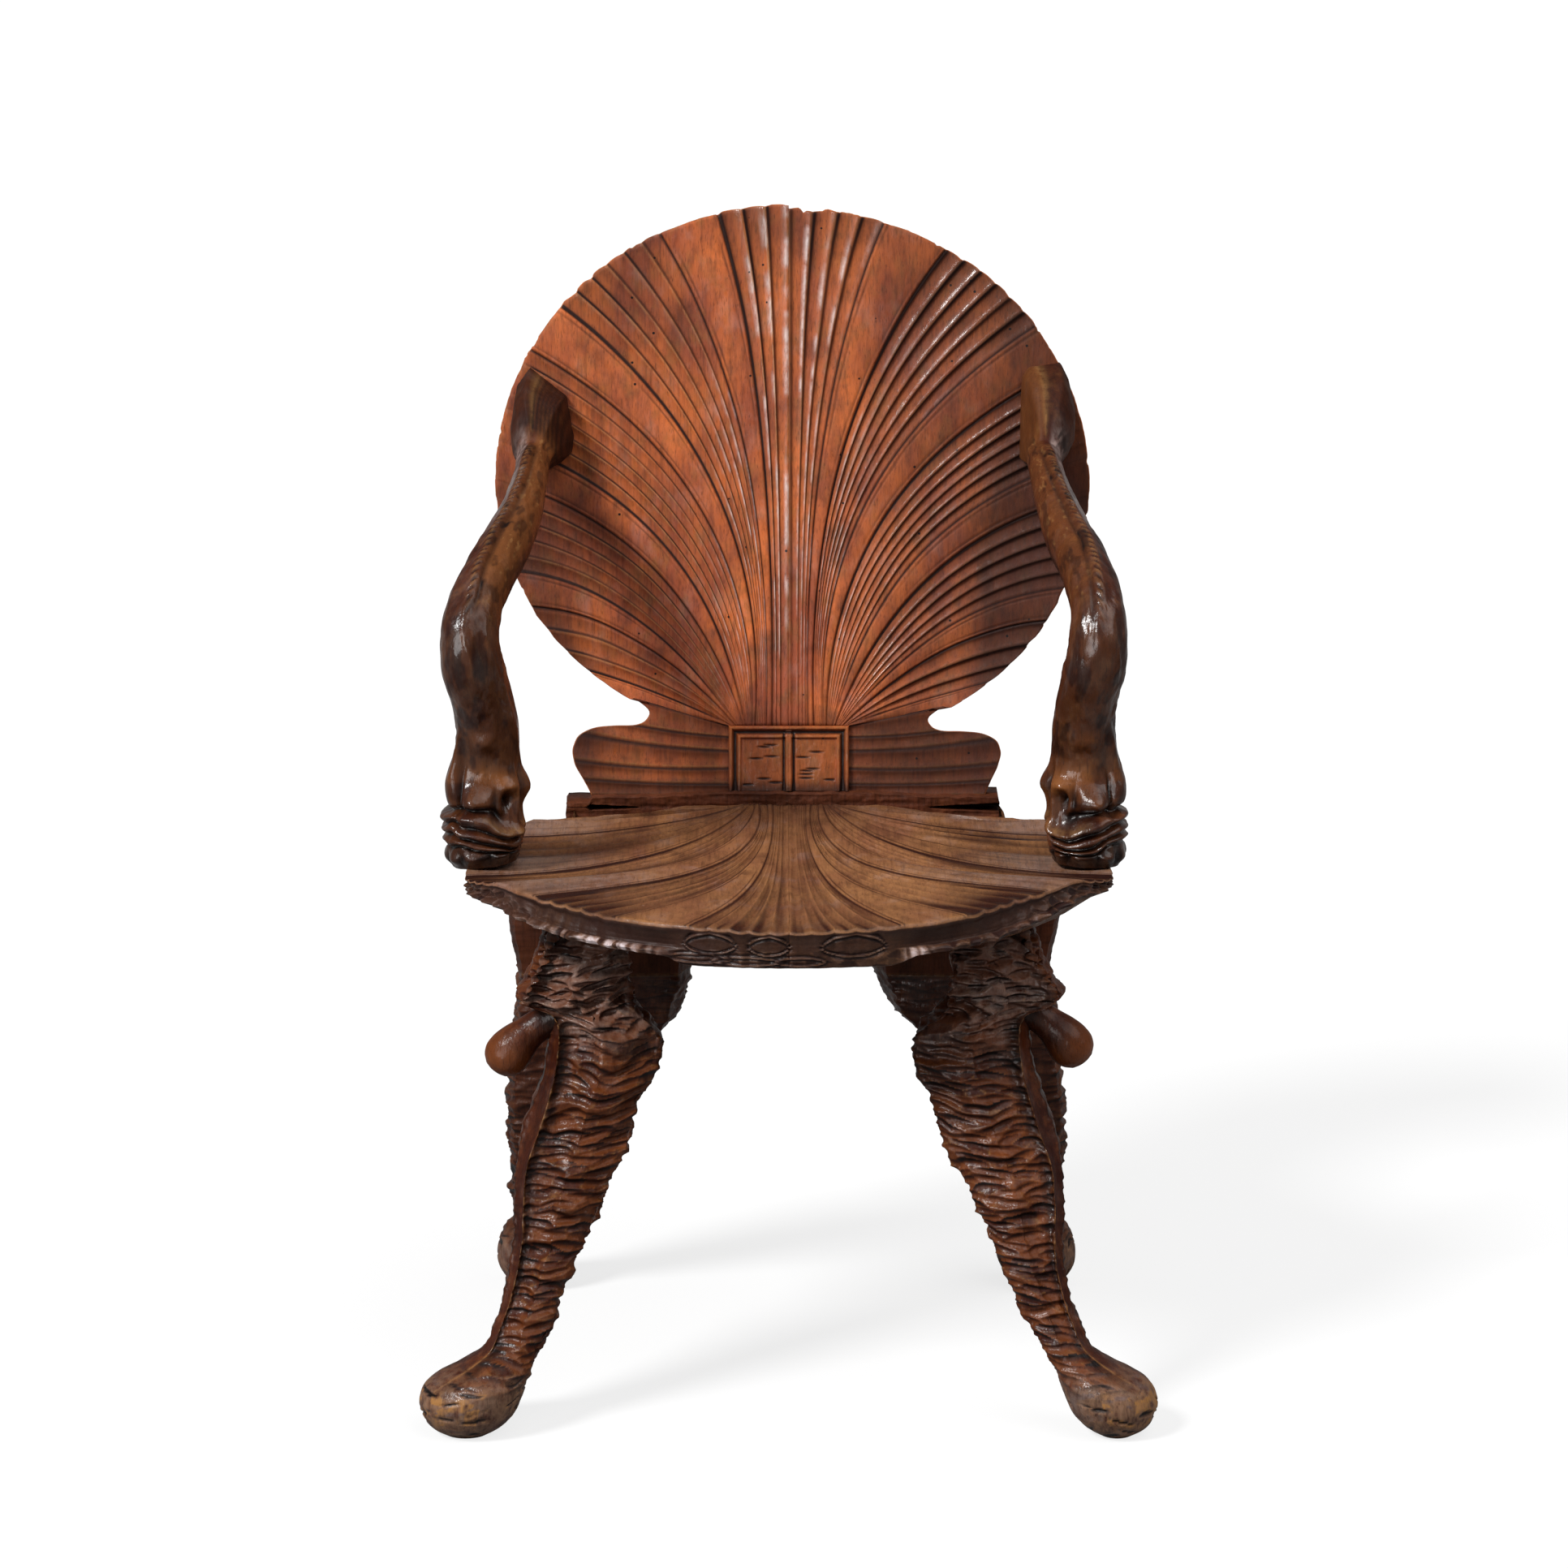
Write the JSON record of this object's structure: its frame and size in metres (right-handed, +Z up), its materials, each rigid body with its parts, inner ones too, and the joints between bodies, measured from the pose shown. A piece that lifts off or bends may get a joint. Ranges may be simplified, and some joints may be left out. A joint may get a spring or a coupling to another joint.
{
  "type": "armchair",
  "caption": "Carved wooden grotto armchair with a scallop-shell seat and back, dolphin arms and rock-carved legs on bulb feet.",
  "frame": {"origin": "on the floor under the middle of the chair", "axes": "+Z up, the sitter looks along -Y, +X to the viewer's right in the picture"},
  "size_m": [0.5866, 0.5844, 0.9306],
  "materials": {
    "seat_walnut": "aged walnut, waxed, worn on the rim",
    "back_walnut": "aged walnut, reddish, waxed to a satin sheen",
    "leg_walnut": "dark carved walnut with worn ridges",
    "hip_walnut": "plain dark walnut",
    "arm_walnut": "dark carved walnut, waxed",
    "dowel_beech": "plain turned beech",
    "screw_steel": "dull steel"
  },
  "bodies": {
    "root": {"seat_left_board": "seat_walnut", "seat_right_board": "seat_walnut", "rear_ledge": "seat_walnut", "back_left_board": "back_walnut", "back_right_board": "back_walnut", "front_left_leg": "leg_walnut", "front_right_leg": "leg_walnut", "rear_left_leg": "leg_walnut", "rear_right_leg": "leg_walnut", "front_left_hip_block": "hip_walnut", "front_right_hip_block": "hip_walnut", "rear_left_hip_block": "hip_walnut", "rear_right_hip_block": "hip_walnut", "left_dolphin_arm": "arm_walnut", "right_dolphin_arm": "arm_walnut", "seat_joint_dowels": "dowel_beech", "back_joint_dowels": "dowel_beech", "leg_dowels": "dowel_beech", "hip_dowels": "dowel_beech", "arm_head_dowels": "dowel_beech", "arm_tail_screws": "screw_steel", "ledge_screws": "screw_steel", "back_screws": "screw_steel"}
  },
  "joints": []
}
